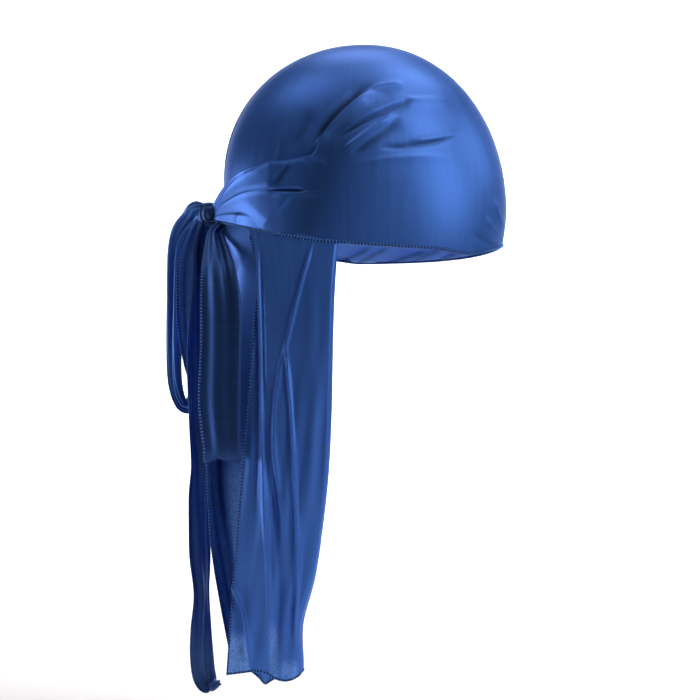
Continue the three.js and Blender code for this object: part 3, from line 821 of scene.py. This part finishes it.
def tailGrid():
    u = crowdedShares(tailLook["columns"], 0.12, 0.22, 1.6)
    v = np.linspace(0, 1, tailLook["rows"] + 1)
    place = (u * tailRows[-1]["at"])[:, None] + 0 * v[None, :]
    depth = v[None, :] ** 1.15 + 0 * u[:, None]
    base = tailPoint(place, depth)
    run = np.gradient(base[..., :2], axis=0)
    run /= np.linalg.norm(run, axis=-1, keepdims=True)
    push = pleatLift(place) * ease(0.02, 0.35, depth)
    near = 1 - ease(12.2, 13.4, place)
    ripple = tailLook["ripple"] * np.sin(place * 2.1 + depth * 9) * ease(0.1, 0.5, depth)
    push = push + near * tailCreaseLift(base[..., 0], base[..., 2]) + ripple
    under = ease(25, 30, place) * (1 - ease(35, 40, place))
    base[..., 0] -= tailLook["slack"] * under * np.exp(-((depth - 0.045) / 0.035) ** 2)
    front = np.exp(-((place - 14.0) / 3.5) ** 2)
    base[..., 0] -= tailLook["notch"] * front * np.exp(-((base[..., 2] + 262) / 24) ** 2)
    base[..., 0] += run[..., 1] * push
    base[..., 1] -= run[..., 0] * push
    return base, place


# Where one layer alone hangs at the lower corner and along the fold, light comes through it: the
# mask of that painted light
def thinMask(points, place):
    x, z = points[..., 0], points[..., 2]
    near = 1 - ease(13, 14, place)
    back = ease(21, 24, place) * ease(28, 26.5, place)
    back = back * ease(-145, -165, z) * ease(-235, -205, z)
    line = readCurve(np.array([200.0, 254, 300]), np.array([-98.0, -86.0, -80.0]), -z)
    corner = ease(1, -1, x - line) * ease(-266, -274, z)
    strip = np.exp(-((x + 64 + 0.02 * (z + 280)) / 3.2) ** 4) * ease(-255, -275, z)
    fold = np.exp(-((x + 53) / 5.5) ** 4) * ease(-284, -292, z)
    return share(near * (0.85 * corner + 0.6 * strip + 0.75 * fold) + 0.6 * back)


tailPoints, tailPlace = tailGrid()
tail = gridObject("tailFlap", tailPoints, flatPlace(tailPoints), satinTailLit,
                  thin=thinMask(tailPoints, tailPlace))
thicken(tail, tailLook["wall"], 0.0)
applyModifiers(tail)
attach(tail, "root")
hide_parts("tail")
print("durag: tail made")


# Loops and ends: bands of cloth gathered lengthways, along the routes of the solids

# A row's back, aside and down are shares of throw, of the width and of the drop. The wide loop's
# edge and its and the short end's aside are shares of the crown's reach back and half width.
bandLook = {"wall": 0.7, "throw": 30.0}
narrowLoopLook = {"width": 22.0, "drop": 142.0, "pleats": 1.6, "depth": 2.2, "drift": 0.7,
                  "columns": 260, "rows": 36}
longEndLook = {"width": 22.0, "drop": 350.0, "pleats": 1.2, "depth": 2.2, "drift": 1.1,
               "columns": 260, "rows": 34}
shortEndLook = {"width": 26.0, "drop": 312.0, "pleats": 1.0, "depth": 1.2, "drift": 0.5,
                "columns": 200, "rows": 34}
wideLoopLook = {"width": 27.0, "drop": 177.0, "pleats": 1.1, "depth": 1.1, "drift": 0.5,
                "columns": 260, "rows": 36, "layerGap": 9.0}
narrowLoopRows = rowsOf(
    "back aside down width facing",
    (0.33, 0.0, -0.006, 0.78, 2),
    (0.47, 0.25, 0.022, 0.74, -8),
    (0.74, 0.45, 0.085, 0.7, -18),
    (0.89, 0.55, 0.19, 0.6, -26),
    (0.935, 0.62, 0.44, 0.56, -30),
    (0.95, 0.66, 0.673, 0.56, -32),
    (0.92, 0.7, 0.86, 0.52, -30),
    (0.77, 0.7, 0.975, 0.4, -10),
    (0.53, 0.7, 0.985, 0.45, 10),
    (0.34, 0.6, 0.89, 0.6, 20),
    (0.42, 0.5, 0.72, 0.85, 14),
    (0.48, 0.38, 0.5, 1.0, 10),
    (0.46, 0.3, 0.26, 1.0, 5),
    (0.33, 0.2, 0.12, 0.8, 0),
)
longEndRows = rowsOf(
    "back aside down width facing",
    (0.3, -0.15, 0.06, 0.5, 60),
    (0.3, -0.2, 0.157, 0.65, 55),
    (0.357, -0.2, 0.283, 0.8, 50),
    (0.357, -0.2, 0.409, 0.8, 60),
    (0.243, -0.2, 0.514, 0.75, 42),
    (0.26, -0.2, 0.597, 0.85, 40),
    (0.24, -0.2, 0.7, 0.85, 40),
    (0.185, -0.2, 0.79, 0.8, 56),
    (0.205, -0.2, 0.86, 0.85, 46),
    (0.19, -0.2, 0.92, 0.88, 40),
    (0.13, -0.2, 0.962, 0.85, 40),
    (-0.02, -0.2, 0.985, 0.7, 52),
    (-0.2, -0.2, 0.972, 0.5, 60),
)
shortEndRows = rowsOf(
    "back aside down width facing",
    (0.0, -0.06, 0.1, 0.35, 10),
    (-0.1, -0.22, 0.2, 0.6, 20),
    (-0.12, -0.32, 0.36, 0.85, 55),
    (-0.15, -0.34, 0.58, 0.85, 70),
    (-0.22, -0.34, 0.68, 0.9, 65),
    (-0.37, -0.33, 0.78, 0.85, 50),
    (-0.5, -0.3, 0.87, 0.75, 46),
    (-0.72, -0.27, 1.0, 0.6, 40),
)
wideLoopRows = rowsOf(
    "edge aside down width",
    (-0.955, -0.22, 0.045, 0.3),
    (-1.0, -0.3, 0.085, 0.35),
    (-0.945, -0.5, 0.16, 0.6),
    (-0.885, -0.68, 0.26, 0.86),
    (-0.845, -0.78, 0.4, 1.0),
    (-0.845, -0.8, 0.56, 1.0),
    (-0.85, -0.8, 0.76, 1.03),
    (-0.85, -0.8, 0.95, 0.9),
)


# A place just inside the knot's surface in a direction, where a band comes out of it
def knotExit(x, y, z, inset=2.0):
    direction = np.array([x, y, z]) / math.sqrt(x * x + y * y + z * z)
    reach = 1 / np.linalg.norm(direction / knotHalf)
    return knotCentre + direction * (reach - inset)


# Catmull-Rom through stations, read at places counted in stations
def splinePoints(points, places):
    points = np.asarray(points, float)
    padded = np.vstack([2 * points[0] - points[1], points, 2 * points[-1] - points[-2]])
    index = np.clip(np.floor(places).astype(int), 0, len(points) - 2)
    t = (places - index)[:, None]
    a, b, c, d = (padded[index + k] for k in range(4))
    return 0.5 * (2 * b + (c - a) * t + (2 * a - 5 * b + 4 * c - d) * t ** 2
                  + (3 * b - a - 3 * c + d) * t ** 3)


# A band along stations, its cloth drawn into lengthways pleats that drift along it
def bandGrid(stations, look, inPlane=False):
    columns, rows, pleats, drift = look["columns"], look["rows"], look["pleats"], look["drift"]
    places = np.linspace(0, len(stations) - 1, columns + 1)
    middle = splinePoints([station["point"] for station in stations], places)
    order = np.arange(len(stations), dtype=float)
    widths, turns = (np.array([station[key] for station in stations], float)
                     for key in ("width", "facing"))
    width = readCurve(order, widths, places)
    facing = np.radians(readCurve(order, turns, places))
    across = np.stack([np.cos(facing), np.sin(facing), 0 * facing], axis=-1)
    tangent = np.gradient(middle, axis=0)
    tangent /= np.linalg.norm(tangent, axis=-1, keepdims=True)
    if inPlane:
        outward = np.stack([np.sin(facing), -np.cos(facing), 0 * facing], axis=-1)
        across = np.cross(outward, tangent)
    across -= tangent * (across * tangent).sum(axis=-1, keepdims=True)
    across /= np.linalg.norm(across, axis=-1, keepdims=True)
    normal = np.cross(tangent, across)
    v = np.linspace(0, 1, rows + 1)[None, :]
    along = np.linspace(0, 1, columns + 1)[:, None]
    wave = np.sin(2 * math.pi * (pleats * v + drift * along))
    wave = wave + 0.45 * np.sin(2 * math.pi * (2.3 * pleats * v - 1.7 * drift * along + 0.2))
    drawn = width * np.sqrt(np.maximum(width.max() / width - 1, 0.06)) / (math.pi * pleats)
    lie = np.minimum(drawn, look["depth"])[:, None] * wave * (0.55 + 0.45 * np.sin(math.pi * v))
    spread = width[:, None] * (v - 0.5)
    points = middle[:, None, :] + across[:, None, :] * spread[..., None]
    return points + normal[:, None, :] * lie[..., None]


def makeBand(name, node, points, material):
    obj = gridObject(name, points, flatPlace(points), material)
    thicken(obj, bandLook["wall"], 0.0)
    applyModifiers(obj)
    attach(obj, "root")
    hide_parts(node)
    return obj


def hangingStations(rows, drop, width, asideSize=None):
    stations = []
    for row in rows:
        sideways = row["aside"] * (asideSize or width)
        offset = np.array([-row["back"] * bandLook["throw"], sideways, -row["down"] * drop])
        stations.append({"point": knotCentre + offset, "width": row["width"] * width,
                         "facing": row["facing"]})
    return stations


def narrowLoopStations():
    width = narrowLoopLook["width"]
    first = {"point": knotExit(-0.7, -0.25, 0.35, 4.0), "width": width / 2, "facing": 5}
    last = {"point": knotExit(-0.5, 0.2, -0.4), "width": width / 2, "facing": 0}
    return [first, *hangingStations(narrowLoopRows, narrowLoopLook["drop"], width), last]


def longEndStations():
    width = longEndLook["width"]
    first = {"point": knotExit(-0.75, -0.25, -0.6), "width": width / 3, "facing": 70}
    return [first, *hangingStations(longEndRows, longEndLook["drop"], width)]


def shortEndStations():
    width = shortEndLook["width"]
    first = {"point": knotExit(-0.1, 0.35, -0.95), "width": width / 4, "facing": 20}
    return [first, *hangingStations(shortEndRows, shortEndLook["drop"], width, crown["halfWidth"])]


def wideStation(row, layer):
    width = row["width"] * wideLoopLook["width"]
    x = row["edge"] * crown["reachBack"] - width / 2
    apart = layer * wideLoopLook["layerGap"] * float(ease(0, 0.3, row["down"]))
    z = knotCentre[2] - row["down"] * wideLoopLook["drop"]
    y = row["aside"] * crown["halfWidth"] + apart
    return {"point": np.array([x, y, z]), "width": width, "facing": 0}


def wideLoopStations():
    down = [wideStation(row, -0.5) for row in wideLoopRows]
    up = [wideStation(row, 0.5) for row in reversed(wideLoopRows)]
    bottom = wideStation({**wideLoopRows[-1], "down": 1}, 0)
    width = wideLoopLook["width"] / 5
    first = {"point": knotExit(-0.1, -0.45, -0.9), "width": width, "facing": 0}
    last = {"point": knotExit(0.4, -0.25, -0.9), "width": width, "facing": 0}
    return [first, *down, bottom, *up[:-1], last]


narrowPoints = bandGrid(narrowLoopStations(), narrowLoopLook, True)
narrowLoop = makeBand("narrowLoop", "narrow_loop", narrowPoints, satinEndLit)
longPoints = bandGrid(longEndStations(), longEndLook)
longEnd = makeBand("longEnd", "long_end", longPoints, satinShade)
shortPoints = bandGrid(shortEndStations(), shortEndLook)
shortEnd = makeBand("shortEnd", "short_end", shortPoints, satinEndLit)
widePoints = bandGrid(wideLoopStations(), wideLoopLook)
wideLoop = makeBand("wideLoop", "wide_loop", widePoints, satinDeepShade)
print("durag: loops and ends made")


# Knot: cloth wound tight, with pleats that run round it

knotLook = {"swell": (1.4, 0.4, 0.8), "pleat": 0.07, "fine": 0.03, "lobe": 0.05,
            "columns": 160, "rows": 90}


def makeKnot():
    half = knotHalf + np.array(knotLook["swell"])
    around = np.linspace(0, 2 * math.pi, knotLook["columns"] + 1)[:, None]
    up = np.linspace(-math.pi / 2, math.pi / 2, knotLook["rows"] + 1)[None, :]
    # the poles lie on the Y axis, where the straps go in, and the pleats run round it
    direction = np.stack([np.cos(up) * np.cos(around), np.sin(up) + 0 * around,
                          np.cos(up) * np.sin(around)], axis=-1)
    pleat = knotLook["pleat"] * np.sin(up * 11 + 1.2 * np.sin(around))
    pleat = pleat + knotLook["fine"] * np.sin(up * 23 + 2 * np.cos(around * 2))
    lobe = knotLook["lobe"] * np.sin(3 * around + 1) * np.cos(up)
    fat = 1 + pleat * np.cos(up) ** 0.6 + lobe
    points = knotCentre + direction * half * fat[..., None]
    obj = gridObject("bowKnot", points[::-1], flatPlace(points), satinShade)
    weld(obj)
    applyModifiers(obj)
    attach(obj, "root")
    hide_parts("knot")


makeKnot()
print("durag: knot made")


# Seam over the crown: a narrow welt from the forehead to the back hem

seamLook = {"width": 3.0, "rise": 0.9, "stop": 0.985, "wall": 0.8, "steps": 300, "across": 13}


def makeSeam():
    climb = np.linspace(0, 2 * seamLook["stop"], seamLook["steps"] + 1)[:, None]
    v = np.linspace(-1, 1, seamLook["across"])[None, :]
    turn = np.where(climb <= 1, 0.0, math.pi) + 0 * v
    rise = np.where(climb <= 1, climb, 2 - climb)
    edge = crownEdge(1, turn / math.pi)
    height = edge + (crown["height"] - edge) * np.sin(rise * math.pi / 2)
    lift = 0.1 + seamLook["rise"] * (1 - v ** 4) * ease(0, 0.12, rise)
    points = domePoint(turn, height, lift)
    points[..., 1] = -v * seamLook["width"] / 2
    obj = gridObject("centreSeam", points, flatPlace(points), satin)
    thicken(obj, seamLook["wall"])
    applyModifiers(obj)
    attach(obj, "root")
    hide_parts("centre_seam")


makeSeam()

# Hems along every cut edge
hemJoin, hemEnd = 0.46, 0.93    # the hem is the strap's between these places, up to the knot
rightBack = (strapRightPlace > hemJoin) & (strapRightPlace < hemEnd)
leftBack = (strapLeftPlace > hemJoin) & (strapLeftPlace < hemEnd)
rightRim = np.vstack([strapRightEdge[rightBack], rightPoints[rightPlace <= hemJoin, 0]])
leftRim = np.vstack([leftPoints[leftPlace <= hemJoin, 0], strapLeftEdge[leftBack]])
makeHem("hemRight", [rightRim], rolledEdge, Radius=0.95)
makeHem("hemLeft", [leftRim], rolledEdge, Radius=1.05)
makeHem("hemTail", [tailPoints[0, 8:], tailPoints[:, -1], tailPoints[-1, 8:]], rolledEdge,
        Radius=0.75)
makeHem("hemNarrowLoop", [narrowPoints[12:-12, 0], narrowPoints[12:-12, -1]], rolledEdge,
        Radius=0.55)
makeHem("hemLongEnd", [longPoints[12:, -1], longPoints[-1, :]], rolledEdge, Radius=0.5)
makeHem("hemShortEnd", [shortPoints[12:, 0], shortPoints[12:, -1], shortPoints[-1, :]],
        rolledEdge, Radius=0.55)
makeHem("hemWideLoop", [widePoints[16:-16, 0]], rolledEdge, Radius=0.7)
print("durag: hems made")


# Studio: pale sweep, soft lights and the camera at the photograph's angle

studio = {
    "floor": -365.0,           # the sweep, in millimetres
    "sweepBack": 1500.0,
    "sweepFront": -2600.0,
    "sweepHalf": 2600.0,
    "sweepRadius": 900.0,
    "sweepTop": 3200.0,
    "paper": (0.92, 0.92, 0.93, 1),
    "ambient": 0.03,
    "lightDistance": 1.8,      # the lights and the camera, in metres and degrees
    "lightSize": (0.8, 0.8),
    "lightSpread": 75,
    "lens": 80.8,
    "eye": (-0.011, -1.150, -0.0893),
    "target": (-0.011, 0.0, -0.0703),
}


def makePaper():
    material, _, shader = startMaterial("palePaper")
    setSockets(shader, {"Base Color": studio["paper"], "Roughness": 0.9, "Specular IOR Level": 0.1})
    return material


def makeSweep():
    steps = [(studio["sweepFront"], studio["floor"])]
    radius = studio["sweepRadius"]
    for i in range(25):
        angle = math.pi / 2 * i / 24
        steps.append((studio["sweepBack"] + radius * math.sin(angle),
                      studio["floor"] + radius * (1 - math.cos(angle))))
    steps.append((studio["sweepBack"] + radius, studio["sweepTop"]))
    sides = (studio["sweepHalf"], -studio["sweepHalf"])
    points = np.array([[(x, y, z) for x in sides] for y, z in steps])
    obj = gridObject("sweep", points, flatPlace(points), makePaper())
    obj.data.shade_smooth()


def pointAt(obj, place, target):
    obj.location = Vector(place)
    obj.rotation_euler = (Vector(target) - Vector(place)).to_track_quat("-Z", "Y").to_euler()


def addArea(name, place, target, size, power, spread, color=(1, 1, 1)):
    light = bpy.data.lights.new(name, "AREA")
    light.shape = "RECTANGLE"
    light.size, light.size_y = size
    light.energy = power
    light.color = color
    light.spread = math.radians(spread)
    pointAt(addToScene(bpy.data.objects.new(name, light)), place, target)


def makeWorld():
    world = bpy.data.worlds.new("studio")
    world.use_nodes = True
    setSockets(world.node_tree.nodes["Background"],
               {"Color": (1, 1, 1, 1), "Strength": studio["ambient"]})
    bpy.context.scene.world = world


def makeCamera():
    data = bpy.data.cameras.new("photoView")
    data.sensor_width = 36.0
    data.lens = studio["lens"]
    data.clip_end = 20
    obj = addToScene(bpy.data.objects.new("photoView", data))
    pointAt(obj, studio["eye"], studio["target"])
    bpy.context.scene.camera = obj


makeSweep()
makeWorld()
makeCamera()
# turn is from the camera's side towards the forehead, and rise is up, both in degrees
plainLight, warmLight = (1, 1, 1), (1.0, 0.91, 0.85)
softboxes = rowsOf(
    "name turn rise power color",
    ("frontLow", 53, 10, 1.75, plainLight),
    ("frontHigh", 45, 40, 2.15, warmLight),
    ("foreheadFill", 95, 25, 1.1, plainLight),
    ("backLow", -101, -6, 3.3, plainLight),
    ("overFront", 90, 68, 2.3, warmLight),
    ("overFar", 180, 68, 1.5, warmLight),
    ("overBack", -70, 62, 0.95, plainLight),
    ("lowFill", 25, -40, 0.4, plainLight),
)
for box in softboxes:
    turn, rise = math.radians(box["turn"]), math.radians(box["rise"])
    away = Vector((math.sin(turn) * math.cos(rise), -math.cos(turn) * math.cos(rise),
                   math.sin(rise)))
    addArea(box["name"], away * studio["lightDistance"], (0, 0, 0), studio["lightSize"],
            box["power"], studio["lightSpread"], box["color"])
addArea("backdropWash", (0, 0.7, 1.7), (0, 2.3, -0.1), (2.4, 0.6), 62, 120)
bpy.context.scene.view_settings.view_transform = "Standard"
print("durag: studio made")
